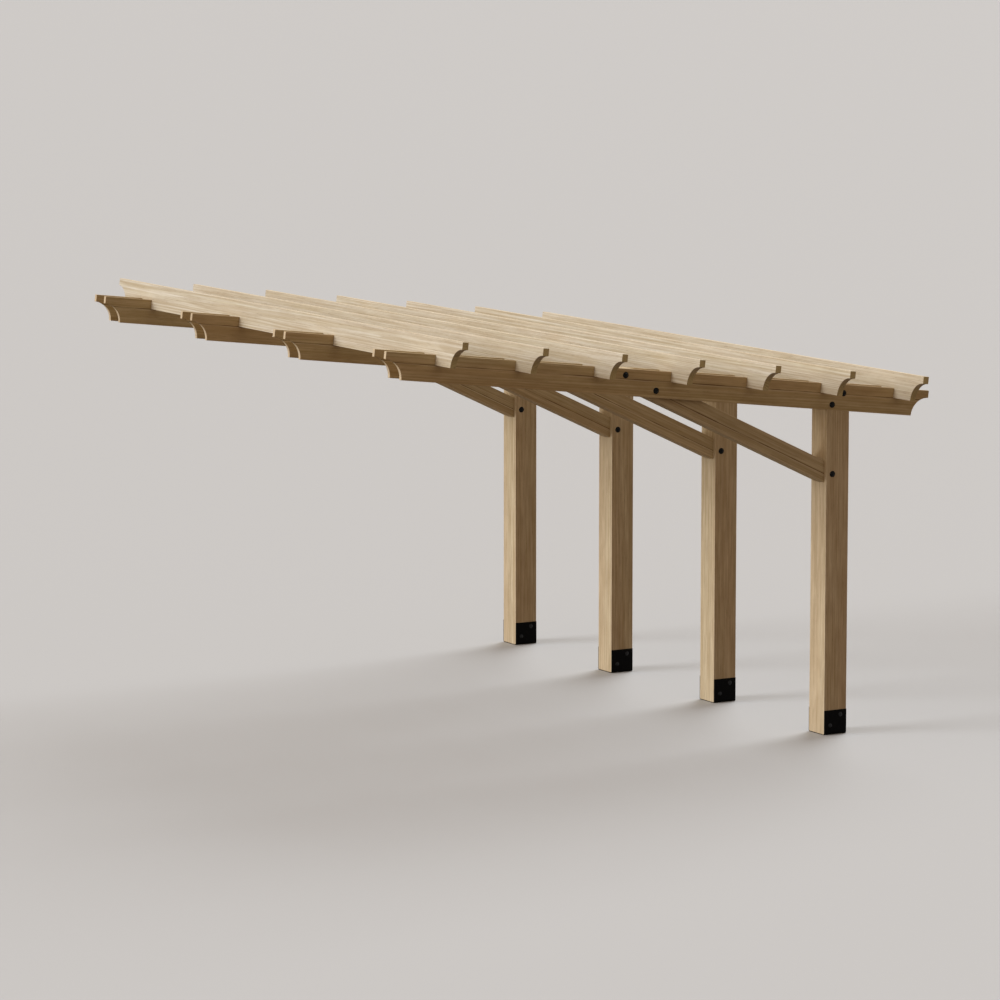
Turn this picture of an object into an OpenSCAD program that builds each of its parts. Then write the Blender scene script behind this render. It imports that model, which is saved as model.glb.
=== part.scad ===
// Cantilever timber pergola.
// A single row of posts carries pairs of notched beam boards that rise away from the posts,
// with a raking brace under each pair and plain rafters laid square across them.
// Millimetres, Z up. X runs along the beams, towards their low end. Y runs along the rafters.
// The origin is the middle of the first post's foot, on the ground.

/* [Posts] */
// Number of posts in the row
post_count = 4; // [2:1:5]
// Side of the square post
post_w = 184; // [140:1:240]
// Distance between post centres
post_pitch = 1416; // [1000:1:2000]

/* [Roof slope] */
// Fall of the roof towards the low end, in degrees
roof_tilt = 6.75; // [4:0.25:10]
// Height of the beam underside over the post centre
beam_clear = 2260; // [2000:5:2600]

/* [Beams] */
// Height of a beam board
beam_h = 182; // [160:1:240]
// Thickness of a beam board
beam_t = 28; // [20:1:44]
// Length of a beam from the post centre to its high end
beam_tail = 3577; // [2800:1:4200]
// Length of a beam from the post centre to its low end
beam_head = 743; // [500:1:1000]
// Height of the square tab left at each sawn end
tab_h = 51; // [30:1:70]
// Depth of the notches that take the rafters
notch_d = 68; // [40:1:90]

/* [Rafters] */
// Number of rafters
rafter_count = 7; // [4:1:9]
// Height of a rafter
rafter_h = 182; // [150:1:240]
// Thickness of a rafter
rafter_t = 45; // [32:1:60]
// Distance from the beam's high end to the first rafter
rafter_inset_tail = 371; // [280:1:520]
// Distance from the last rafter to the beam's low end
rafter_inset_head = 250; // [220:1:360]
// Reach of the rafters past the centre of the first post
rafter_near = 424; // [300:1:700]
// Reach of the rafters past the centre of the last post
rafter_far = 475; // [300:1:700]

/* [Braces] */
// Height on the post's face where the brace's centre line starts
brace_foot = 1840; // [1600:5:1900]
// Depth of a brace, seen from the side
brace_d = 138; // [110:1:150]
// Distance along the beam from the post centre to the upper brace bolt
brace_reach = 1740; // [1680:1:1780]
// Height of the upper brace bolt above the beam's underside
brace_seat = 139; // [120:1:145]
// Distance between the two bolts that hold a brace to its beams
brace_bolt_gap = 267; // [200:1:300]
// Stagger of the two lower brace bolts, one above and one below the brace's centre line
brace_bolt_stagger = 6; // [0:1:15]
// Length of a brace past its upper bolt
brace_end = 110; // [60:1:130]
// Thickness of the tenon on the brace's foot
tenon_t = 46; // [30:1:60]
// Length of the tenon inside the post
tenon_l = 104; // [90:1:120]
// Distance along the brace from the post's face to the tenon's bolt
tenon_bolt = 52; // [40:1:60]

/* [Post bases] */
// Height of the steel side plates
base_h = 172; // [140:1:240]
// Thickness of the steel
base_t = 4; // [3:0.5:8]
// Outer radius of the bend under each side plate
base_bend = 12; // [9:1:20]

/* [Bolts] */
// Shank diameter of the frame bolts
bolt_d = 16; // [12:1:20]
// Diameter of a frame bolt's domed head
bolt_head_d = 36; // [28:1:42]
// Height of a frame bolt's domed head
bolt_head_h = 11; // [8:1:16]
// Diameter of the washer under a frame bolt's head
washer_d = 43; // [40:1:52]
// Thickness of the washer under a frame bolt's head
washer_t = 3; // [2:0.5:5]
// Distance of the lower beam bolt from the post centre, towards the high end
low_bolt_u = 55; // [30:1:60]
// Height of the lower beam bolt above the beam's underside
low_bolt_v = 38; // [30:1:50]
// Distance of the upper beam bolt from the post centre, towards the low end
high_bolt_u = 30; // [20:1:50]
// Height of the upper beam bolt above the beam's underside
high_bolt_v = 122; // [100:1:130]
// Shank diameter of the base bolts
base_bolt_d = 12; // [8:1:14]
// Diameter of a base bolt's domed head
base_head_d = 34; // [24:1:36]
// Height of a base bolt's domed head
base_head_h = 8; // [5:1:12]
// Distance of the lower base bolt from the post centre, towards the high end
base_low_x = 42; // [25:1:50]
// Height of the lower base bolt above the ground
base_low_z = 64; // [50:1:80]
// Distance of the upper base bolt from the post centre, towards the low end
base_high_x = 42; // [25:1:50]
// Height of the upper base bolt above the ground
base_high_z = 137; // [110:1:145]

/* [Clearances] */
// Side gap between a rafter and its notch
notch_gap = 0.5; // [0.2:0.1:2]
// Gap all round between a tenon and its mortise
mortise_gap = 1; // [0.5:0.1:3]
// Bolt holes are this much wider than their bolts
hole_gap = 1; // [0.5:0.1:3]

/* [Hidden] */
$fn = 64;
wood = [0.74, 0.63, 0.47];
steel = [0.05, 0.05, 0.05];

half_post = post_w / 2;
foot_round = base_bend - base_t;
tongue_t = post_w - 2 * beam_t;
beam_len = beam_tail + beam_head;
rafter_seat = beam_h - notch_d;
rafter_span = beam_len - rafter_inset_tail - rafter_inset_head - rafter_t;
rafter_pitch = rafter_span / (rafter_count - 1);
row_len = (post_count - 1) * post_pitch;
overcut = beam_h;

// The brace's centre line runs from the post's face to the upper brace bolt.
top_x = -brace_reach * cos(roof_tilt) + brace_seat * sin(roof_tilt);
top_z = beam_clear + brace_reach * sin(roof_tilt) + brace_seat * cos(roof_tilt);
brace_run = -half_post - top_x;
brace_rise = top_z - brace_foot;
brace_angle = atan2(brace_rise, brace_run);
brace_top_bolt = norm([brace_run, brace_rise]);
brace_low_bolt = brace_top_bolt - brace_bolt_gap;
brace_len = brace_top_bolt + brace_end;
tenon_room = tenon_l + brace_d;
tenon_root = brace_d / 2;
tongue_root = beam_h / 2;
washer_lap = washer_t / 3;

// Bolts of a brace: how far each is up the brace, and how far below its centre line
tenon_bolt_at = [-tenon_bolt, -brace_bolt_stagger];
brace_bolts_at = [[brace_low_bolt, brace_bolt_stagger], [brace_top_bolt, 0]];

POSTS = [1 : post_count];
RAFTERS = [1 : rafter_count];

// Placing of a post and of a rafter in their rows
function post_y(i) = (i - 1) * post_pitch;
function rafter_u(i) = rafter_inset_tail - beam_tail + (i - 1) * rafter_pitch;

// Turns an outline drawn in X and Z into a board that starts at y and is t thick.
module board(y, t) {
    translate([0, y + t, 0])
        rotate([90, 0, 0])
            linear_extrude(t)
                children();
}

// Outlines drawn along the sloping beam, from the post centre on the beam's underside
module on_slope() {
    translate([0, beam_clear])
        rotate(-roof_tilt)
            children();
}

// Outlines drawn along the brace's centre line, from the post's face, with Y towards its underside
module on_brace() {
    translate([-half_post, brace_foot])
        rotate(180 - brace_angle)
            children();
}

// Stick with a square tab and a hollow quarter round at each end
module coved_stick(from, to, h) {
    difference() {
        translate([from, 0])
            square([to - from, h]);
        for (x = [from, to])
            translate([x, 0])
                circle(r = h - tab_h);
    }
}

// Room for every rafter, from its seat upwards
module rafter_slots() {
    for (i = RAFTERS)
        translate([rafter_u(i) - notch_gap, rafter_seat])
            square([rafter_t + 2 * notch_gap, overcut]);
}

// Places of the bolts, as outlines of the given diameter
module beam_bolt_places() {
    on_slope()
        translate([-low_bolt_u, low_bolt_v])
            children();
    on_slope()
        translate([high_bolt_u, high_bolt_v])
            children();
}

module brace_bolt_places() {
    for (place = brace_bolts_at)
        on_brace()
            translate(place)
                children();
}

module tenon_bolt_place() {
    on_brace()
        translate(tenon_bolt_at)
            children();
}

module base_bolt_places() {
    translate([-base_low_x, base_low_z])
        children();
    translate([base_high_x, base_high_z])
        children();
}

module bolt_hole() {
    circle(d = bolt_d + hole_gap);
}

// Post: square column with sloping shoulders, and a tongue that stands between the beam boards
module post_column() {
    difference() {
        translate([-half_post, base_t])
            square([post_w, beam_clear + overcut]);
        on_slope()
            translate([-post_w, 0])
                square([2 * post_w, 3 * overcut]);
    }
}

module post_tongue() {
    difference() {
        intersection() {
            translate([-half_post, 0])
                square([post_w, beam_clear + 3 * overcut]);
            on_slope()
                translate([-post_w, -tongue_root])
                    square([2 * post_w, tongue_root + beam_h]);
        }
        on_slope()
            rafter_slots();
    }
}

// Bolt holes through a post, from its base to its tongue
module post_holes() {
    base_bolt_places()
        circle(d = base_bolt_d + hole_gap);
    tenon_bolt_place()
        bolt_hole();
    beam_bolt_places()
        bolt_hole();
}

// Foot of the brace inside the post with its root in the brace, grown by gap for the mortise
module tenon_outline(gap) {
    intersection() {
        on_brace()
            translate([-tenon_room, -brace_d / 2 - gap])
                square([tenon_room + 2 * brace_d, brace_d + 2 * gap]);
        translate([-half_post - tenon_root, brace_foot - 2 * brace_d])
            square([tenon_root + tenon_l + gap, 4 * brace_d]);
    }
}

// Upright outline, half wide to each side, with its lower corners rounded
module cradle(half, r, h) {
    translate([-half, r])
        square([2 * half, h - r]);
    translate([r - half, 0])
        square([2 * (half - r), 2 * r]);
    for (s = [-1, 1])
        translate([s * (half - r), r])
            circle(r = r);
}

// Turns an outline drawn in Y and Z into a piece as wide as the post.
module across_post() {
    translate([-half_post, 0, 0])
        rotate([90, 0, 90])
            linear_extrude(post_w)
                children();
}

module post(i) {
    color(wood)
        translate([0, post_y(i), 0])
            difference() {
                union() {
                    intersection() {
                        board(-half_post, post_w)
                            post_column();
                        across_post()
                            translate([0, base_t])
                                cradle(half_post, foot_round, beam_clear + overcut);
                    }
                    board(-tongue_t / 2, tongue_t)
                        post_tongue();
                }
                board(-tenon_t / 2 - mortise_gap, tenon_t + 2 * mortise_gap)
                    tenon_outline(mortise_gap);
                board(-post_w, 2 * post_w)
                    post_holes();
            }
}

// Steel saddle: a plate bent up on both sides of the post, round the post's eased foot
module saddle_outline() {
    difference() {
        cradle(half_post + base_t, base_bend, base_h);
        translate([0, base_t])
            cradle(half_post, foot_round, base_h);
    }
}

module post_base(i) {
    color(steel)
        translate([0, post_y(i), 0])
            difference() {
                across_post()
                    saddle_outline();
                board(-post_w, 2 * post_w)
                    base_bolt_places()
                        circle(d = base_bolt_d + hole_gap);
            }
}

// Beam board: coved at both ends, notched for the rafters and drilled for the bolts
module beam_outline() {
    difference() {
        on_slope()
            difference() {
                coved_stick(-beam_tail, beam_head, beam_h);
                rafter_slots();
            }
        beam_bolt_places()
            bolt_hole();
        brace_bolt_places()
            bolt_hole();
    }
}

module beam_near(i) {
    color(wood)
        board(post_y(i) - half_post, beam_t)
            beam_outline();
}

module beam_far(i) {
    color(wood)
        board(post_y(i) + half_post - beam_t, beam_t)
            beam_outline();
}

// Brace: cut to the post's face below and to the beam's top above
module brace_outline() {
    difference() {
        on_brace()
            translate([-tenon_room, -brace_d / 2])
                square([tenon_room + brace_len, brace_d]);
        translate([-half_post, 0])
            square([2 * tenon_room, 2 * beam_clear]);
        on_slope()
            translate([-beam_tail, beam_h])
                square([beam_len, 2 * overcut]);
        on_slope()
            rafter_slots();
    }
}

module brace_holes() {
    brace_bolt_places()
        bolt_hole();
    tenon_bolt_place()
        bolt_hole();
}

module brace(i) {
    color(wood)
        translate([0, post_y(i), 0])
            difference() {
                union() {
                    board(-tongue_t / 2, tongue_t)
                        brace_outline();
                    board(-tenon_t / 2, tenon_t)
                        tenon_outline(0);
                }
                board(-tongue_t, 2 * tongue_t)
                    brace_holes();
            }
}

// Rafter: laid square across the beams, with the same coved ends
module rafter(i) {
    color(wood)
        translate([0, 0, beam_clear])
            rotate([0, roof_tilt, 0])
                translate([rafter_u(i), 0, rafter_seat])
                    rotate([90, 0, 90])
                        linear_extrude(rafter_t)
                            coved_stick(-rafter_near, row_len + rafter_far, rafter_h);
}

// Domed head that rests on the ground plane of its own frame
module dome(d, h) {
    ball = (d * d / 4 + h * h) / (2 * h);
    rotate_extrude()
        intersection() {
            translate([0, h - ball])
                circle(r = ball);
            square([d / 2, h]);
        }
}

// Bolt along Y through the middle of a piece that is grip wide, with a domed head on each face
module through_bolt(grip, shank, head_d, head_h) {
    rotate([90, 0, 0])
        union() {
            cylinder(d = shank, h = grip + head_h, center = true);
            for (s = [0, 1])
                mirror([0, 0, s])
                    translate([0, 0, grip / 2])
                        dome(head_d, head_h);
        }
}

// Stands a bolt that is drawn along Y on a place that is given in X and Z
module stand(x, z) {
    translate([x, 0, z])
        children();
}

// Frame bolt: its heads sit on washers, and the washers on the outer faces of post or beams
module frame_bolt() {
    through_bolt(post_w + 2 * (washer_t - washer_lap), bolt_d, bolt_head_d, bolt_head_h + washer_lap);
    for (s = [-1, 1])
        translate([0, s * (half_post + washer_t / 2), 0])
            rotate([90, 0, 0])
                cylinder(d = washer_d, h = washer_t, center = true);
}

module on_slope_3d(u, v) {
    stand(u * cos(roof_tilt) + v * sin(roof_tilt), beam_clear - u * sin(roof_tilt) + v * cos(roof_tilt))
        children();
}

module on_brace_3d(s, v) {
    stand(
        -half_post - s * cos(brace_angle) - v * sin(brace_angle),
        brace_foot + s * sin(brace_angle) - v * cos(brace_angle)
    )
        children();
}

module beam_bolts(i) {
    color(steel)
        translate([0, post_y(i), 0]) {
            on_slope_3d(-low_bolt_u, low_bolt_v)
                frame_bolt();
            on_slope_3d(high_bolt_u, high_bolt_v)
                frame_bolt();
        }
}

module brace_bolts(i) {
    color(steel)
        translate([0, post_y(i), 0])
            for (place = concat([tenon_bolt_at], brace_bolts_at))
                on_brace_3d(place.x, place.y)
                    frame_bolt();
}

module base_bolt() {
    through_bolt(post_w + 2 * base_t, base_bolt_d, base_head_d, base_head_h);
}

module base_bolts(i) {
    color(steel)
        translate([0, post_y(i), 0]) {
            stand(-base_low_x, base_low_z)
                base_bolt();
            stand(base_high_x, base_high_z)
                base_bolt();
        }
}

for (i = POSTS) {
    post(i);
    post_base(i);
    beam_near(i);
    beam_far(i);
    brace(i);
    beam_bolts(i);
    brace_bolts(i);
    base_bolts(i);
}
for (i = RAFTERS) {
    rafter(i);
}
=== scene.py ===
"""Looks of a cantilever timber pergola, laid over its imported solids."""

import logging
import math
from dataclasses import dataclass
from enum import Enum
from typing import ClassVar

import bpy
from mathutils import Euler, Matrix, Vector


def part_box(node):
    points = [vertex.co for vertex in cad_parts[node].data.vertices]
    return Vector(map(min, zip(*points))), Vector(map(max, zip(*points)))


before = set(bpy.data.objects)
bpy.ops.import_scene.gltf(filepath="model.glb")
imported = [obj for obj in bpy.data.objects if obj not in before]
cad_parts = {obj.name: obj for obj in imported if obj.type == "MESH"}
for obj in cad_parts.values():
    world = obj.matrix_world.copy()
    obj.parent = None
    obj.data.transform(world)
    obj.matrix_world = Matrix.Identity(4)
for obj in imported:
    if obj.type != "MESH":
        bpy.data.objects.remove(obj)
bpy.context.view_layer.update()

LOG = logging.getLogger("pergola")
Triple = tuple[float, float, float]
Colour = tuple[float, float, float]
Span = tuple[float, ...]
NOWHERE: Triple = (0.0, 0.0, 0.0)
HALF_WAY = 0.5


class Grain(Enum):
    """Which way the fibres of a timber run."""

    UPRIGHT = "upright"
    ALONG_BEAM = "along_beam"
    ALONG_RAFTER = "along_rafter"
    ALONG_BRACE = "along_brace"


@dataclass(frozen=True)
class Slope:
    """Angles and levels that the timbers share, in metres and radians."""

    roof_tilt: float = math.radians(6.75)
    brace_angle: float = math.radians(25.2)
    beam_underside: float = 2.26
    half_post: float = 0.092
    brace_foot: float = 1.84

    def turn(self, grain: Grain) -> Euler:
        """Rotation that lays the local x axis along the fibres.

        Args:
            grain: the way the fibres run.

        Returns:
            The rotation of the timber's own frame.
        """
        tilt = Matrix.Rotation(self.roof_tilt, 3, "Y")
        turns = {
            Grain.UPRIGHT: Matrix.Rotation(-math.pi / 2, 3, "Y"),
            Grain.ALONG_BEAM: tilt,
            Grain.ALONG_RAFTER: tilt @ Matrix.Rotation(math.pi / 2, 3, "Z"),
            Grain.ALONG_BRACE: Matrix.Rotation(self.brace_angle, 3, "Y"),
        }
        return turns[grain].to_euler("XYZ")


SLOPE = Slope()


def rgba(value: object) -> object:
    """Adds full alpha to a plain colour, and leaves a socket as it is."""
    return (*value, 1.0) if isinstance(value, tuple) and len(value) == 3 else value


class Wiring:
    """Places and joins nodes in one node tree."""

    def __init__(self, tree: bpy.types.NodeTree) -> None:
        """Keeps the tree that the nodes go into."""
        self.tree = tree

    def node(self, kind: str, **settings: object) -> bpy.types.Node:
        """Adds a node.

        Args:
            kind: Blender's name for the node type.
            settings: properties to set on it.

        Returns:
            The new node.
        """
        made = self.tree.nodes.new(kind)
        for name, value in settings.items():
            setattr(made, name, value)
        return made

    def feed(self, socket: bpy.types.NodeSocket, value: object) -> None:
        """Links a socket to another one, or sets its plain value.

        Args:
            socket: the input to feed.
            value: the socket to link it to, or the plain value.
        """
        if isinstance(value, bpy.types.NodeSocket):
            self.tree.links.new(value, socket)
        else:
            socket.default_value = value

    def feed_all(self, made: bpy.types.Node, values: dict[str, object]) -> bpy.types.Node:
        """Feeds several inputs of a node.

        Args:
            made: the node.
            values: sockets or plain values by the inputs' names.

        Returns:
            The same node.
        """
        for name, value in values.items():
            self.feed(made.inputs[name], value)
        return made

    def operate(self, kind: str, operation: str, values: tuple[object, ...]) -> bpy.types.Node:
        """Adds a math node of either kind.

        Args:
            kind: Blender's name for the node type.
            operation: what the node works out.
            values: sockets or plain values, in the order of its inputs.

        Returns:
            The new node.
        """
        made = self.node(kind, operation=operation)
        for socket, value in zip(made.inputs, values):
            self.feed(socket, value)
        return made

    def math(self, operation: str, *values: object) -> bpy.types.NodeSocket:
        """Works out a number from numbers."""
        return self.operate("ShaderNodeMath", operation, values).outputs["Value"]

    def vector(self, operation: str, *values: object) -> bpy.types.NodeSocket:
        """Works out a vector from vectors."""
        return self.operate("ShaderNodeVectorMath", operation, values).outputs["Vector"]

    def measure(self, operation: str, *values: object) -> bpy.types.NodeSocket:
        """Works out a number from vectors."""
        return self.operate("ShaderNodeVectorMath", operation, values).outputs["Value"]

    def axis(self, value: bpy.types.NodeSocket, name: str) -> bpy.types.NodeSocket:
        """One axis of a vector."""
        return self.feed_all(self.node("ShaderNodeSeparateXYZ"), {"Vector": value}).outputs[name]

    def combine(self, **axes: object) -> bpy.types.NodeSocket:
        """A vector from its axes X, Y and Z."""
        return self.feed_all(self.node("ShaderNodeCombineXYZ"), axes).outputs["Vector"]

    def span(
        self, value: object, low: float, high: float, start: float = 0.0, end: float = 1.0,
    ) -> bpy.types.NodeSocket:
        """Smoothly carries a value from one range to another.

        Args:
            value: what is carried over.
            low: value that gives start.
            high: value that gives end.
            start: result at low and under it.
            end: result at high and over it.

        Returns:
            The carried value.
        """
        made = self.node("ShaderNodeMapRange", interpolation_type="SMOOTHSTEP")
        given = {"Value": value, "From Min": low, "From Max": high, "To Min": start, "To Max": end}
        return self.feed_all(made, given).outputs["Result"]

    def mix(self, factor: object, first: object, second: object) -> bpy.types.NodeSocket:
        """Mixes two colours.

        Args:
            factor: share of the second colour.
            first: first colour.
            second: second colour.

        Returns:
            The mixed colour.
        """
        made = self.node("ShaderNodeMix", data_type="RGBA")
        given = {"Factor": factor, "A": rgba(first), "B": rgba(second)}
        return self.feed_all(made, given).outputs["Result"]

    def noise(
        self, vector: object, scale: float = 1.0, detail: float = 2.0, roughness: float = 0.5,
    ) -> bpy.types.Node:
        """Adds a noise texture.

        Args:
            vector: place that the noise is looked up at.
            scale: noise cells to a unit.
            detail: octaves of the noise.
            roughness: weight of the finer octaves.

        Returns:
            The node, for its value or its colour.
        """
        made = self.node("ShaderNodeTexNoise", noise_dimensions="3D")
        given = {"Vector": vector, "Scale": scale, "Detail": detail, "Roughness": roughness}
        return self.feed_all(made, given)

    def bump(self, height: object, strength: float, distance: float) -> bpy.types.NodeSocket:
        """Turns a height into a normal.

        Args:
            height: the height over the surface.
            strength: share of the bump that shows.
            distance: height of one unit, in metres.

        Returns:
            The bumped normal.
        """
        given = {"Strength": strength, "Distance": distance, "Height": height}
        return self.feed_all(self.node("ShaderNodeBump"), given).outputs["Normal"]

    def skin(self, values: dict[str, object]) -> None:
        """Ends a material in its shader.

        Args:
            values: sockets or plain values by the shader's own input names.
        """
        shader = self.feed_all(self.node("ShaderNodeBsdfPrincipled"), values)
        self.feed_all(self.node("ShaderNodeOutputMaterial"), {"Surface": shader.outputs["BSDF"]})


def blank(name: str) -> tuple[bpy.types.Material, Wiring]:
    """Makes a material that has no nodes yet.

    Args:
        name: name of the material.

    Returns:
        The material, and the wiring of its node tree.
    """
    made = bpy.data.materials.new(name)
    made.use_nodes = True
    made.node_tree.nodes.clear()
    return made, Wiring(made.node_tree)


@dataclass(frozen=True)
class Streak:
    """Noise that is drawn out along the fibres, and the range that is cut from it."""

    along: float
    across: float
    detail: float = 2.0
    roughness: float = 0.5
    cut_range: Span = (0.0, 1.0)

    def raw(self, wiring: Wiring, place: object) -> bpy.types.NodeSocket:
        """Draws the noise, with its cells to a metre along and across the fibres.

        Args:
            wiring: the group's wiring.
            place: place in the timber, in metres.

        Returns:
            The noise, from 0 to 1.
        """
        drawn = wiring.vector("MULTIPLY", place, (self.along, self.across, self.across))
        return wiring.noise(drawn, detail=self.detail, roughness=self.roughness).outputs["Fac"]

    def cut(self, wiring: Wiring, place: object) -> bpy.types.NodeSocket:
        """Draws the noise and carries its range over."""
        return wiring.span(self.raw(wiring, place), *self.cut_range)


@dataclass(frozen=True)
class Lean:
    """How the fibres of a log lean aside along its length."""

    cells: Triple
    reach: float

    def drawn(self, wiring: Wiring, place: object) -> bpy.types.NodeSocket:
        """Draws the lean from a cloud, across the fibres only.

        Args:
            wiring: the group's wiring.
            place: place in the log, in metres.

        Returns:
            The lean, in metres.
        """
        cloud = wiring.noise(wiring.vector("MULTIPLY", place, self.cells), detail=1.0).outputs["Color"]
        lean = wiring.vector("SUBTRACT", cloud, (HALF_WAY, HALF_WAY, HALF_WAY))
        return wiring.vector("MULTIPLY", lean, (0.0, 2.0 * self.reach, 2.0 * self.reach))


class Effect:
    """A shader node group that is built once and shared by the finishes."""

    name: ClassVar[str] = "effect"
    inputs: ClassVar[tuple[tuple[str, str, object], ...]] = ()
    outputs: ClassVar[tuple[str, ...]] = ()

    def tree(self) -> bpy.types.NodeTree:
        """Gives the group, and builds it at the first call.

        Returns:
            The group's node tree.
        """
        found = bpy.data.node_groups.get(self.name)
        if found:
            return found
        tree = bpy.data.node_groups.new(self.name, "ShaderNodeTree")
        for name, kind, value in self.inputs:
            socket = tree.interface.new_socket(name, in_out="INPUT", socket_type=kind)
            socket.default_value = value
        for name in self.outputs:
            tree.interface.new_socket(name, in_out="OUTPUT", socket_type="NodeSocketFloat")
        wiring = Wiring(tree)
        drawn = self.draw(wiring, wiring.node("NodeGroupInput").outputs)
        wiring.feed_all(wiring.node("NodeGroupOutput"), drawn)
        return tree

    def draw(self, wiring: Wiring, given: bpy.types.NodeOutputs) -> dict[str, object]:
        """Draws the group's own nodes.

        Args:
            wiring: the group's wiring.
            given: the group's inputs.

        Returns:
            The group's outputs by name.
        """
        raise NotImplementedError

    def place(self, wiring: Wiring, **values: object) -> bpy.types.NodeOutputs:
        """Puts the group into a material.

        Args:
            wiring: the material's wiring.
            values: input values or sockets, with underscores for spaces.

        Returns:
            The outputs of the placed group.
        """
        made = wiring.node("ShaderNodeGroup", node_tree=self.tree())
        given = {name.replace("_", " "): value for name, value in values.items()}
        return wiring.feed_all(made, given).outputs


class TimberFigure(Effect):
    """Growth rings, bands, lines, fibres and pores of a sawn timber."""

    name = "timber_figure"
    inputs = (
        ("Place", "NodeSocketVector", NOWHERE),
        ("Pith", "NodeSocketVector", (0.0, 0.1, 0.1)),
        ("Ring Width", "NodeSocketFloat", 0.007),
        ("Taper", "NodeSocketFloat", 0.004),
        ("Run", "NodeSocketFloat", 1.0),
        ("Fineness", "NodeSocketFloat", 1.0),
    )
    outputs = ("Ring", "Band", "Line", "Blush", "Mottle", "Fibre", "Pore", "Height")
    across: ClassVar[Triple] = (0.0, 1.0, 1.0)
    sway: ClassVar[Lean] = Lean((0.30, 1.3, 1.3), 0.006)
    ripple: ClassVar[Lean] = Lean((1.6, 7.0, 7.0), 0.0014)
    season: ClassVar[Streak] = Streak(0.25, 9.0, detail=1.0)
    season_turns: ClassVar[float] = 2.0
    late_rise: ClassVar[Span] = (0.2, 0.88)
    late_fall: ClassVar[Span] = (0.9, 1.0, 1.0, 0.0)
    band: ClassVar[Streak] = Streak(0.5, 44.0, cut_range=(0.3, 0.7))
    line: ClassVar[Streak] = Streak(1.0, 90.0, roughness=0.6, cut_range=(0.36, 0.68))
    blush: ClassVar[Streak] = Streak(0.35, 8.0, cut_range=(0.36, 0.66))
    mottle: ClassVar[Streak] = Streak(5.0, 24.0, detail=3.0, roughness=0.6, cut_range=(0.3, 0.7))
    fibre: ClassVar[Streak] = Streak(7.0, 650.0, roughness=0.6)
    dash: ClassVar[Streak] = Streak(16.0, 520.0, detail=1.0, cut_range=(0.62, 0.72))
    dash_lines: ClassVar[Span] = (0.2, 0.8)
    ring_height: ClassVar[float] = -0.25
    fibre_height: ClassVar[float] = 0.8
    pore_drop: ClassVar[float] = 0.6

    def draw(self, wiring: Wiring, given: bpy.types.NodeOutputs) -> dict[str, object]:
        """Draws the rings as cones round a wandering pith, and the rest as drawn-out noise.

        Args:
            wiring: the group's wiring.
            given: the group's inputs.

        Returns:
            The group's outputs by name.
        """
        place = given["Place"]
        swayed = wiring.vector("ADD", place, self.sway.drawn(wiring, place))
        wavy = wiring.vector("ADD", swayed, self.ripple.drawn(wiring, place))
        runs = wiring.combine(X=given["Run"], Y=given["Fineness"], Z=given["Fineness"])
        broken = wiring.vector("MULTIPLY", wavy, runs)
        ring = self.ring(wiring, given, wavy)
        line = self.line.cut(wiring, broken)
        fibre = self.fibre.raw(wiring, wavy)
        on_lines = wiring.span(line, *self.dash_lines)
        pore = wiring.math("MULTIPLY", self.dash.cut(wiring, wavy), on_lines)
        height = wiring.math(
            "ADD",
            wiring.math("MULTIPLY", ring, self.ring_height),
            wiring.math("MULTIPLY", fibre, self.fibre_height),
        )
        return {
            "Ring": ring,
            "Band": self.band.cut(wiring, broken),
            "Line": line,
            "Blush": self.blush.cut(wiring, wavy),
            "Mottle": self.mottle.cut(wiring, wavy),
            "Fibre": fibre,
            "Pore": pore,
            "Height": wiring.math("SUBTRACT", height, wiring.math("MULTIPLY", pore, self.pore_drop)),
        }

    def ring(self, wiring: Wiring, given: bpy.types.NodeOutputs, wavy: object) -> bpy.types.NodeSocket:
        """Draws the growth rings, which darken slowly and end sharply.

        Args:
            wiring: the group's wiring.
            given: the group's inputs.
            wavy: place in the log, with the lean of the fibres.

        Returns:
            The mask of the late wood.
        """
        from_pith = wiring.vector("MULTIPLY", wiring.vector("SUBTRACT", wavy, given["Pith"]), self.across)
        climb = wiring.math("MULTIPLY", wiring.axis(given["Place"], "X"), given["Taper"])
        out = wiring.math("ADD", wiring.measure("LENGTH", from_pith), climb)
        turns = wiring.math("DIVIDE", out, given["Ring Width"])
        season = wiring.math("MULTIPLY", self.season.raw(wiring, wavy), self.season_turns)
        part = wiring.math("FRACT", wiring.math("ADD", turns, season))
        rise = wiring.span(part, *self.late_rise)
        return wiring.math("MULTIPLY", rise, wiring.span(part, *self.late_fall))


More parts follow.
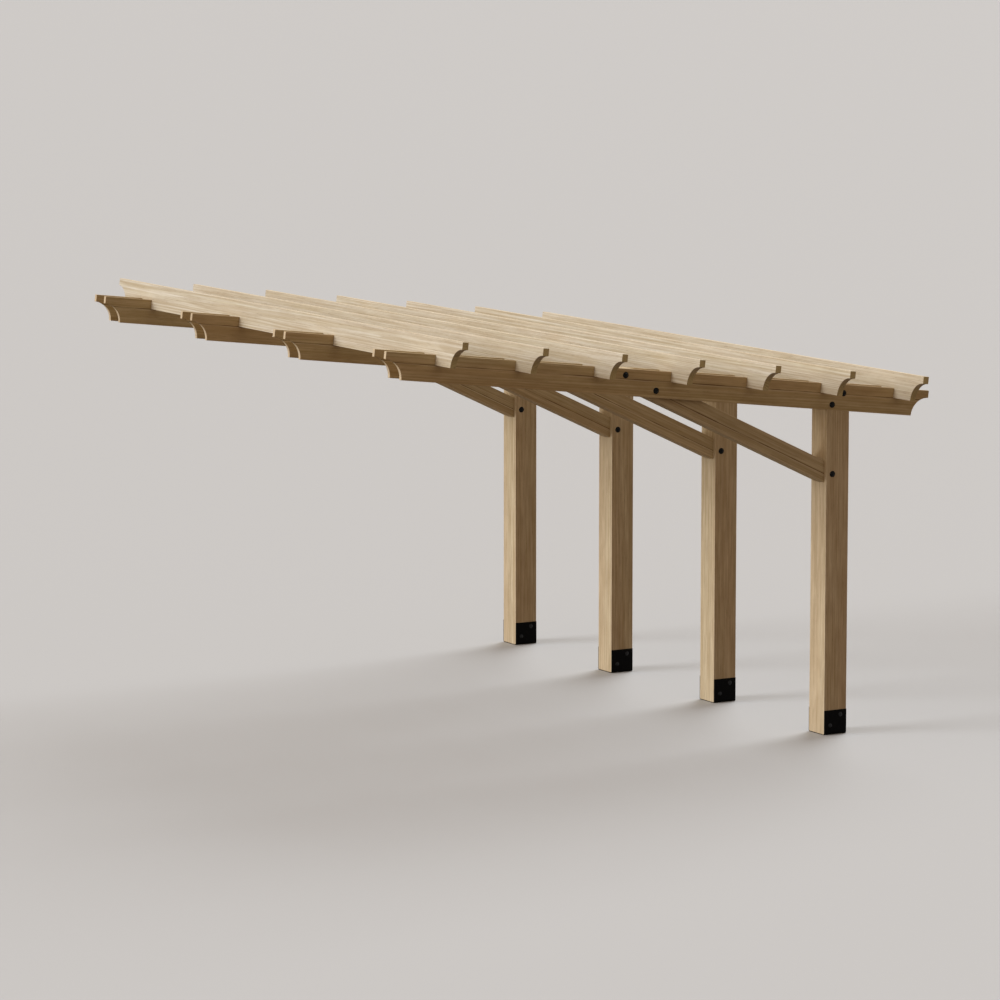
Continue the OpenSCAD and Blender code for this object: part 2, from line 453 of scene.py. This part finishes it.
class EndGrain(Effect):
    """Where a saw cut crosses the fibres, and the fine radial splits that show there."""

    name = "end_grain"
    inputs = (
        ("Place", "NodeSocketVector", NOWHERE),
        ("Pith", "NodeSocketVector", (0.0, 0.1, 0.1)),
        ("Fibres", "NodeSocketVector", (1.0, 0.0, 0.0)),
    )
    outputs = ("End", "Split")
    facing_range: ClassVar[Span] = (0.45, 0.95)
    cells_round: ClassVar[float] = 26.0
    cells_out: ClassVar[float] = 9.0
    split_range: ClassVar[Span] = (0.0, 0.035, 1.0, 0.0)

    def draw(self, wiring: Wiring, given: bpy.types.NodeOutputs) -> dict[str, object]:
        """Finds the cut ends from the face's direction, and draws the splits round the pith.

        Args:
            wiring: the group's wiring.
            given: the group's inputs.

        Returns:
            The group's outputs by name.
        """
        face = wiring.node("ShaderNodeNewGeometry").outputs["True Normal"]
        facing = wiring.math("ABSOLUTE", wiring.measure("DOT_PRODUCT", face, given["Fibres"]))
        end = wiring.span(facing, *self.facing_range)
        out = wiring.vector("SUBTRACT", given["Place"], given["Pith"])
        round_pith = wiring.math("ARCTAN2", wiring.axis(out, "Z"), wiring.axis(out, "Y"))
        spokes = wiring.combine(
            X=wiring.math("MULTIPLY", round_pith, self.cells_round),
            Y=wiring.math("MULTIPLY", wiring.measure("LENGTH", out), self.cells_out),
        )
        spread = wiring.noise(spokes).outputs["Fac"]
        away = wiring.math("ABSOLUTE", wiring.math("SUBTRACT", spread, HALF_WAY))
        thin = wiring.span(away, *self.split_range)
        return {"End": end, "Split": wiring.math("MULTIPLY", thin, end)}


class EdgeWearAndHighlight(Effect):
    """The paler arrises along a timber: partly hand wear, partly a painted highlight for the light that
    catches the edges.
    """

    name = "edge_wear_and_highlight"
    inputs = (
        ("Place", "NodeSocketVector", NOWHERE),
        ("Half Section", "NodeSocketVector", (0.0, 0.09, 0.09)),
        ("Width", "NodeSocketFloat", 0.006),
    )
    outputs = ("Edge",)
    ragged: ClassVar[Streak] = Streak(9.0, 60.0, 3.0, 0.6, cut_range=(0.3, 0.7, 0.35, 1.0))
    strip_range: ClassVar[Span] = (0.3, 1.0, 1.0, 0.0)

    def draw(self, wiring: Wiring, given: bpy.types.NodeOutputs) -> dict[str, object]:
        """Marks the strip beside each long edge, broken up by noise.

        Args:
            wiring: the group's wiring.
            given: the group's inputs.

        Returns:
            The group's outputs by name.
        """
        place = given["Place"]
        inside = wiring.vector("SUBTRACT", given["Half Section"], wiring.vector("ABSOLUTE", place))
        away = wiring.math("MAXIMUM", wiring.axis(inside, "Y"), wiring.axis(inside, "Z"))
        width = wiring.math("MULTIPLY", given["Width"], self.ragged.cut(wiring, place))
        return {"Edge": wiring.span(wiring.math("DIVIDE", away, width), *self.strip_range)}


class SeasonCheck(Effect):
    """A long drying check that follows the fibres at one level of the timber."""

    name = "season_check"
    inputs = (
        ("Place", "NodeSocketVector", NOWHERE),
        ("Level", "NodeSocketFloat", 0.0),
        ("Width", "NodeSocketFloat", 0.004),
    )
    outputs = ("Crack", "Lip")
    path: ClassVar[Streak] = Streak(0.9, 0.0, detail=3.0)
    path_reach: ClassVar[float] = 0.008
    opening: ClassVar[Streak] = Streak(2.3, 0.0, cut_range=(0.34, 0.6, 0.35, 1.0))
    crack_range: ClassVar[Span] = (0.3, 1.0, 1.0, 0.0)
    lip_below: ClassVar[float] = 1.8
    lip_range: ClassVar[Span] = (0.3, 1.4, 1.0, 0.0)

    def draw(self, wiring: Wiring, given: bpy.types.NodeOutputs) -> dict[str, object]:
        """Draws a dark crack that opens and closes along its length, with a pale lip under it.

        Args:
            wiring: the group's wiring.
            given: the group's inputs.

        Returns:
            The group's outputs by name.
        """
        place = given["Place"]
        along = wiring.math("SUBTRACT", self.path.raw(wiring, place), HALF_WAY)
        wander = wiring.math("MULTIPLY", along, self.path_reach)
        over = wiring.math("SUBTRACT", wiring.axis(place, "Z"), given["Level"])
        off = wiring.math("SUBTRACT", over, wander)
        opening = self.opening.cut(wiring, place)
        reach = wiring.math("MULTIPLY", given["Width"], opening)
        under = wiring.math("ADD", off, wiring.math("MULTIPLY", reach, self.lip_below))
        crack = wiring.span(self.share(wiring, off, reach), *self.crack_range)
        lip = wiring.span(self.share(wiring, under, reach), *self.lip_range)
        return {
            "Crack": wiring.math("MULTIPLY", crack, opening),
            "Lip": wiring.math("MULTIPLY", lip, opening),
        }

    @staticmethod
    def share(wiring: Wiring, off: object, reach: object) -> bpy.types.NodeSocket:
        """Distance from a line, as a share of its reach."""
        return wiring.math("DIVIDE", wiring.math("ABSOLUTE", off), reach)


class CoatedSkin(Effect):
    """Faint clouds of wear in a coat over steel, and the coat's fine peel."""

    name = "coated_skin"
    inputs = (("Place", "NodeSocketVector", NOWHERE),)
    outputs = ("Cloud", "Scuff", "Peel")
    cloud_cells: ClassVar[float] = 22.0
    cloud_detail: ClassVar[float] = 4.0
    cloud_roughness: ClassVar[float] = 0.6
    scuff_range: ClassVar[Span] = (0.5, 0.8)
    peel_cells: ClassVar[float] = 420.0

    def draw(self, wiring: Wiring, given: bpy.types.NodeOutputs) -> dict[str, object]:
        """Draws the clouds and the peel as noise.

        Args:
            wiring: the group's wiring.
            given: the group's inputs.

        Returns:
            The group's outputs by name.
        """
        place = given["Place"]
        clouds = wiring.noise(place, self.cloud_cells, self.cloud_detail, self.cloud_roughness)
        cloud = clouds.outputs["Fac"]
        return {
            "Cloud": cloud,
            "Scuff": wiring.span(cloud, *self.scuff_range),
            "Peel": wiring.noise(place, self.peel_cells).outputs["Fac"],
        }


@dataclass(frozen=True)
class Cut:
    """Where in its log one timber was sawn, and how its own frame lies."""

    grain: Grain
    centre: Vector
    half_section: tuple[float, float]
    seed: int
    pith_reach: float
    check: float | None = None
    log_step: ClassVar[Triple] = (7.31, 1.37, 2.71)
    pith_turn: ClassVar[float] = 137.5

    def shift(self) -> Vector:
        """Offset from the timber's own frame to a place in the log."""
        return Vector([self.seed * step for step in self.log_step])

    def pith(self) -> Vector:
        """Line of the log's heart, in the log's frame.

        Returns:
            A point on that line.
        """
        side = math.radians(self.pith_turn * self.seed)
        across = Vector((0.0, self.pith_reach * math.cos(side), self.pith_reach * math.sin(side)))
        return across + Vector((0.0, *self.shift().yz))

    def fibres(self) -> Vector:
        """Direction of the fibres."""
        return SLOPE.turn(self.grain).to_matrix() @ Vector((1.0, 0.0, 0.0))

    def own_place(self, wiring: Wiring) -> bpy.types.NodeSocket:
        """Place in the timber's own frame, with x along the fibres.

        Args:
            wiring: the material's wiring.

        Returns:
            The place, in metres.
        """
        where = wiring.node("ShaderNodeTexCoord").outputs["Object"]
        made = wiring.node("ShaderNodeMapping", vector_type="TEXTURE")
        given = {"Vector": where, "Location": self.centre, "Rotation": SLOPE.turn(self.grain)}
        return wiring.feed_all(made, given).outputs["Vector"]


@dataclass(frozen=True)
class TimberFinish:
    """Planed, unpainted softwood."""

    name: str
    pale: Colour
    deep: Colour
    blush: Colour
    late: Colour
    dark: Colour = (0.10, 0.055, 0.025)
    # Pale tone for the arrises and for the lip of a season check; on the arrises it is partly wear and
    # partly a painted highlight.
    wear_and_highlight: Colour = (0.72, 0.62, 0.47)
    end: Colour = (0.46, 0.35, 0.21)
    ring_width: float = 0.008
    taper: float = 0.0015
    run: float = 1.0
    fineness: float = 1.0
    ring_depth: float = 0.40
    line_depth: float = 0.34
    blush_depth: float = 0.55
    mottle_depth: float = 0.22
    pore_depth: float = 0.40
    end_depth: float = 0.2
    edge_depth: float = 0.45
    check_depth: float = 0.80
    lip_depth: float = 0.30
    split_drop: float = 1.5
    check_drop: float = 4.0
    bump: float = 0.35
    bump_distance: float = 0.0008
    end_dullness: float = 0.5
    dull_range: Span = (0.2, 1.2, 0.70, 1.0)
    gloss: float = 0.03

    def material(self, name: str, cut: Cut) -> bpy.types.Material:
        """Makes the finish for one timber.

        Args:
            name: name of the material.
            cut: where in the log the timber was sawn.

        Returns:
            The material.
        """
        made, wiring = blank(name)
        plain = cut.own_place(wiring)
        log = wiring.vector("ADD", plain, cut.shift())
        pith = cut.pith()
        figure = TimberFigure().place(
            wiring, Place=log, Pith=pith, Ring_Width=self.ring_width, Taper=self.taper,
            Run=self.run, Fineness=self.fineness,
        )
        ends = EndGrain().place(wiring, Place=log, Pith=pith, Fibres=cut.fibres())
        edges = EdgeWearAndHighlight().place(wiring, Place=plain, Half_Section=(0.0, *cut.half_section))
        layers = [
            (figure["Blush"], self.blush_depth, self.blush),
            (figure["Mottle"], self.mottle_depth, self.late),
            (figure["Ring"], self.ring_depth, self.late),
            (figure["Line"], self.line_depth, self.late),
            (figure["Pore"], self.pore_depth, self.dark),
            # Painted highlight: the pale arris strip stands partly for wear and partly for the light
            # caught on the edges.
            (edges["Edge"], self.edge_depth, self.wear_and_highlight),
            (ends["End"], self.end_depth, self.end),
            (ends["Split"], self.pore_depth, self.dark),
        ]
        drops = [(ends["Split"], self.split_drop)]
        if cut.check is not None:
            season = SeasonCheck().place(wiring, Place=plain, Level=cut.check)
            layers.append((season["Lip"], self.lip_depth, self.wear_and_highlight))
            layers.append((season["Crack"], self.check_depth, self.dark))
            drops.append((season["Crack"], self.check_drop))
        colour = wiring.mix(figure["Band"], self.pale, self.deep)
        for mask, depth, tone in layers:
            colour = wiring.mix(wiring.math("MULTIPLY", mask, depth), colour, tone)
        height = figure["Height"]
        for mask, drop in drops:
            height = wiring.math("SUBTRACT", height, wiring.math("MULTIPLY", mask, drop))
        dull_end = wiring.math("MULTIPLY", ends["End"], self.end_dullness)
        dull = wiring.math("ADD", figure["Fibre"], dull_end)
        wiring.skin({
            "Base Color": colour,
            "Roughness": wiring.span(dull, *self.dull_range),
            "Specular IOR Level": self.gloss,
            "Normal": wiring.bump(height, self.bump, self.bump_distance),
        })
        return made


@dataclass(frozen=True)
class SteelFinish:
    """Black coated steel."""

    name: str
    base: Colour
    scuffed: Colour
    roughness: float
    gloss: float
    smoother: float = 0.06
    rougher: float = 0.14
    cloud_range: Span = (0.2, 0.8)
    bump: float = 0.15
    bump_distance: float = 0.0005

    def material(self) -> bpy.types.Material:
        """Makes the finish.

        Returns:
            The material.
        """
        made, wiring = blank(self.name)
        where = wiring.node("ShaderNodeTexCoord").outputs["Object"]
        coat = CoatedSkin().place(wiring, Place=where)
        dull_range = (*self.cloud_range, self.roughness - self.smoother, self.roughness + self.rougher)
        wiring.skin({
            "Base Color": wiring.mix(coat["Scuff"], self.base, self.scuffed),
            "Roughness": wiring.span(coat["Cloud"], *dull_range),
            "Specular IOR Level": self.gloss,
            "Normal": wiring.bump(coat["Peel"], self.bump, self.bump_distance),
        })
        return made


@dataclass(frozen=True)
class Arris:
    """How the sharp edges of a piece are eased."""

    width: float
    segments: int = 2
    steep: float = math.radians(35.0)
    flat: float = math.radians(0.6)
    snap: float = 1e-5
    face_weight: int = 100

    def ease(self, piece: bpy.types.Object) -> None:
        """Rounds the sharp edges of a piece, and keeps its flat faces flat.

        Args:
            piece: the piece to ease.
        """
        weld = piece.modifiers.new("weld", "WELD")
        weld.merge_threshold = self.snap
        merge = piece.modifiers.new("merge", "DECIMATE")
        merge.decimate_type = "DISSOLVE"
        merge.angle_limit = self.flat
        bevel = piece.modifiers.new("arris", "BEVEL")
        bevel.width = self.width
        bevel.segments = self.segments
        bevel.limit_method = "ANGLE"
        bevel.angle_limit = self.steep
        bevel.use_clamp_overlap = False
        even = piece.modifiers.new("even", "WEIGHTED_NORMAL")
        even.weight = self.face_weight


POST_FINISH = TimberFinish(
    name="post_timber",
    pale=(0.75, 0.672, 0.496),
    deep=(0.62, 0.525, 0.353),
    blush=(0.69, 0.562, 0.396),
    late=(0.36, 0.258, 0.145),
    # Paler, stronger arrises on the posts: partly wear, partly a painted highlight for the light on the
    # lit posts' edges.
    wear_and_highlight=(0.84, 0.75, 0.58),
    edge_depth=0.6,
    run=3.0,
    ring_depth=0.27,
    mottle_depth=0.30,
)
BEAM_FINISH = TimberFinish(
    name="beam_timber",
    pale=(0.67, 0.57, 0.365),
    deep=(0.52, 0.42, 0.235),
    blush=(0.60, 0.425, 0.245),
    late=(0.33, 0.23, 0.11),
    # Painted light: the beams' end grain gets a pale tone that stands in for the light on their lit end
    # faces.
    end=(0.78, 0.67, 0.51),
    end_depth=0.65,
    run=2.2,
    ring_depth=0.30,
    line_depth=0.27,
    mottle_depth=0.32,
)
RAFTER_FINISH = TimberFinish(
    name="rafter_timber",
    # Painted light: the rafter wood is paler and whiter than the posts' wood, to stand in for the strong
    # light on the rafters' faces.
    pale=(0.785, 0.767, 0.683),
    deep=(0.66, 0.62, 0.488),
    blush=(0.73, 0.678, 0.568),
    late=(0.43, 0.335, 0.205),
    # Painted shade: the rafters' end grain and coves get a dark olive tone that stands in for the shade
    # on their ends.
    end=(0.59, 0.50, 0.258),
    end_depth=0.85,
    run=1.8,
    fineness=1.5,
    line_depth=0.48,
)
BRACE_FINISH = TimberFinish(
    name="brace_timber",
    pale=(0.75, 0.66, 0.462),
    deep=(0.535, 0.45, 0.284),
    blush=(0.615, 0.478, 0.305),
    late=(0.28, 0.192, 0.094),
    run=1.6,
    ring_depth=0.24,
    line_depth=0.34,
    check_depth=0.95,
)
PLATE_FINISH = SteelFinish(
    name="black_plate",
    base=(0.003, 0.003, 0.003),
    scuffed=(0.008, 0.0078, 0.0075),
    roughness=0.45,
    gloss=0.04,
)
BOLT_FINISH = SteelFinish(
    name="black_bolt",
    base=(0.002, 0.002, 0.002),
    scuffed=(0.006, 0.0058, 0.0056),
    roughness=0.16,
    gloss=0.10,
)
FOOT_BOLT_FINISH = SteelFinish(
    name="foot_bolt",
    base=(0.002, 0.002, 0.002),
    scuffed=(0.006, 0.0058, 0.0056),
    roughness=0.12,
    gloss=0.22,
)


@dataclass
class Timbers:
    """A set of like timbers, with their section across and upright, in metres."""

    prefix: str
    finish: TimberFinish
    grain: Grain
    seed: int
    section: tuple[float, float]
    pith_reach: float
    count: int = 4
    arris: Arris = Arris(0.002)
    check: float | None = None

    def centre(self, index: int) -> Vector:
        """Origin of a timber's own frame, in the middle of its section.

        Args:
            index: the timber's number in the set.

        Returns:
            The origin.
        """
        low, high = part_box(f"{self.prefix}_{index}")
        return (low + high) / 2

    def dress(self) -> None:
        """Gives every timber of the set its own cut of the finish, and eases its edges."""
        half = (self.section[0] / 2, self.section[1] / 2)
        for index in range(1, self.count + 1):
            name = f"{self.prefix}_{index}"
            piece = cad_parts[name]
            seed = self.seed + index
            cut = Cut(self.grain, self.centre(index), half, seed, self.pith_reach, self.check)
            piece.data.materials.clear()
            piece.data.materials.append(self.finish.material(name, cut))
            self.arris.ease(piece)
            LOG.info("dressed %s as %s", name, self.finish.name)


@dataclass
class Beams(Timbers):
    """Boards of the paired beams, with frames that start over the post."""

    def centre(self, index: int) -> Vector:
        """Middle of the board's section over the post.

        Args:
            index: the board's number in the set.

        Returns:
            The origin of its own frame.
        """
        low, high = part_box(f"{self.prefix}_{index}")
        up = self.section[1] / 2
        lean = Vector((math.sin(SLOPE.roof_tilt) * up, 0.0, math.cos(SLOPE.roof_tilt) * up))
        return Vector((0.0, (low.y + high.y) / 2, SLOPE.beam_underside)) + lean


@dataclass
class Braces(Timbers):
    """Raking braces, with frames that start at the foot of their centre line."""

    def centre(self, index: int) -> Vector:
        """Point where the brace's centre line meets the post."""
        low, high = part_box(f"{self.prefix}_{index}")
        return Vector((-SLOPE.half_post, (low.y + high.y) / 2, SLOPE.brace_foot))


@dataclass
class Ironwork:
    """Sets of steel pieces with one finish."""

    prefixes: tuple[str, ...]
    finish: SteelFinish
    count: int = 4
    arris: Arris = Arris(0.0008)

    def dress(self) -> None:
        """Gives every steel piece of the sets the coated finish, and eases its edges."""
        coated = self.finish.material()
        for prefix in self.prefixes:
            for index in range(1, self.count + 1):
                name = f"{prefix}_{index}"
                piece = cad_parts[name]
                piece.data.materials.clear()
                piece.data.materials.append(coated)
                self.arris.ease(piece)
                LOG.info("dressed %s as %s", name, self.finish.name)


@dataclass(frozen=True)
class Lamp:
    """A soft, far lamp, with its angles in degrees."""

    name: str
    azimuth: float
    elevation: float
    strength: float
    softness: float
    colour: Colour = (1.0, 1.0, 1.0)
    distance: float = 20.0

    def build(self) -> None:
        """Hangs the lamp. Azimuth 0 shines from the far side, along -Y, and 90 from +X."""
        turn = math.radians(self.azimuth)
        rise = math.radians(self.elevation)
        level = math.cos(rise)
        source = Vector((math.sin(turn) * level, math.cos(turn) * level, math.sin(rise)))
        data = bpy.data.lights.new(self.name, "SUN")
        data.energy = self.strength
        data.angle = math.radians(self.softness)
        data.color = self.colour
        lamp = bpy.data.objects.new(self.name, data)
        lamp.rotation_euler = source.to_track_quat("Z", "Y").to_euler()
        lamp.location = source * self.distance
        bpy.context.scene.collection.objects.link(lamp)


KEY_LAMP = Lamp("key_lamp", azimuth=284.0, elevation=20.0, strength=1.98, softness=30.0)
SIDE_LAMP = Lamp(
    "side_lamp", azimuth=284.0, elevation=32.0, strength=0.60, softness=90.0, colour=(1.0, 0.78, 0.56),
)
RIM_LAMP = Lamp("rim_lamp", azimuth=56.0, elevation=42.0, strength=2.60, softness=40.0)


@dataclass
class Studio:
    """Floor, world and lamps."""

    floor_shown: Colour = (0.48, 0.50, 0.52)
    floor_bounce: Colour = (0.105, 0.073, 0.049)
    floor_roughness: float = 0.9
    floor_gloss: float = 0.1
    floor_reach: float = 400.0
    far_tone: Colour = (0.625, 0.60, 0.578)
    sky: Colour = (0.350, 0.268, 0.205)
    lamps: tuple[Lamp, ...] = (KEY_LAMP, SIDE_LAMP, RIM_LAMP)

    def build(self) -> None:
        """Lays the floor and lights the scene."""
        self.lay_floor()
        self.light_world()
        for lamp in self.lamps:
            lamp.build()

    @staticmethod
    def seen(wiring: Wiring) -> bpy.types.NodeSocket:
        """Mask of the rays that see the room itself: straight, in a gloss or through glass.

        Args:
            wiring: the wiring of the material or the world.

        Returns:
            1 for those rays, and 0 for the rays that only light the part.
        """
        path = wiring.node("ShaderNodeLightPath").outputs
        straight = wiring.math("MAXIMUM", path["Is Camera Ray"], path["Is Glossy Ray"])
        return wiring.math("MAXIMUM", straight, path["Is Transmission Ray"])

    def lay_floor(self) -> None:
        """Lays a plain floor that shows pale and throws little light back."""
        half = self.floor_reach
        corners = [(-half, -half, 0.0), (half, -half, 0.0), (half, half, 0.0), (-half, half, 0.0)]
        mesh = bpy.data.meshes.new("floor")
        mesh.from_pydata(corners, [], [(0, 1, 2, 3)])
        floor = bpy.data.objects.new("floor", mesh)
        bpy.context.scene.collection.objects.link(floor)
        material, wiring = blank("floor")
        wiring.skin({
            "Base Color": wiring.mix(self.seen(wiring), self.floor_bounce, self.floor_shown),
            "Roughness": self.floor_roughness,
            "Specular IOR Level": self.floor_gloss,
        })
        floor.data.materials.append(material)

    def light_world(self) -> None:
        """Fills the room with a plain, weak light, and shows it in the floor's tone."""
        world = bpy.data.worlds.new("studio")
        bpy.context.scene.world = world
        world.use_nodes = True
        world.node_tree.nodes.clear()
        wiring = Wiring(world.node_tree)
        join = wiring.node("ShaderNodeMixShader")
        wiring.feed(join.inputs["Fac"], self.seen(wiring))
        for socket, tone in zip(join.inputs[1:], (self.sky, self.far_tone)):
            given = {"Color": rgba(tone), "Strength": 1.0}
            light = wiring.feed_all(wiring.node("ShaderNodeBackground"), given)
            wiring.feed(socket, light.outputs["Background"])
        wiring.feed_all(wiring.node("ShaderNodeOutputWorld"), {"Surface": join.outputs["Shader"]})


@dataclass(frozen=True)
class Viewpoint:
    """The camera, far off and with a long lens."""

    place: Triple = (-18.0729, -26.7796, 6.1623)
    azimuth: float = math.radians(29.974)
    elevation: float = math.radians(8.008)
    lens: float = 169.68
    sensor: float = 36.0
    sight: float = 1000.0

    def build(self) -> None:
        """Sets the camera up and makes it the scene's own."""
        data = bpy.data.cameras.new("camera")
        data.lens = self.lens
        data.sensor_width = self.sensor
        data.clip_end = self.sight
        camera = bpy.data.objects.new("camera", data)
        level = math.cos(self.elevation)
        back = Vector((
            -math.sin(self.azimuth) * level,
            -math.cos(self.azimuth) * level,
            math.sin(self.elevation),
        ))
        camera.location = self.place
        camera.rotation_euler = back.to_track_quat("Z", "Y").to_euler()
        bpy.context.scene.collection.objects.link(camera)
        bpy.context.scene.camera = camera


def main() -> None:
    """Dresses the pergola piece by piece and sets the scene."""
    logging.basicConfig(level=logging.INFO, format="%(message)s")
    bpy.context.scene.view_settings.view_transform = "Standard"
    Timbers(
        "post", POST_FINISH, Grain.UPRIGHT, seed=10,
        section=(0.184, 0.184), pith_reach=0.07,
    ).dress()
    for prefix, seed in (("beam_near", 20), ("beam_far", 30)):
        Beams(
            prefix, BEAM_FINISH, Grain.ALONG_BEAM, seed,
            section=(0.028, 0.182), pith_reach=0.14, check=0.023,
        ).dress()
    Braces(
        "brace", BRACE_FINISH, Grain.ALONG_BRACE, seed=40,
        section=(0.128, 0.138), pith_reach=0.10, check=-0.013,
    ).dress()
    Timbers(
        "rafter", RAFTER_FINISH, Grain.ALONG_RAFTER, seed=50,
        section=(0.045, 0.182), pith_reach=0.16, count=7,
    ).dress()
    Ironwork(("post_base",), PLATE_FINISH).dress()
    Ironwork(("beam_bolts", "brace_bolts"), BOLT_FINISH).dress()
    Ironwork(("base_bolts",), FOOT_BOLT_FINISH).dress()
    Studio().build()
    Viewpoint().build()


if __name__ == "__main__":
    main()
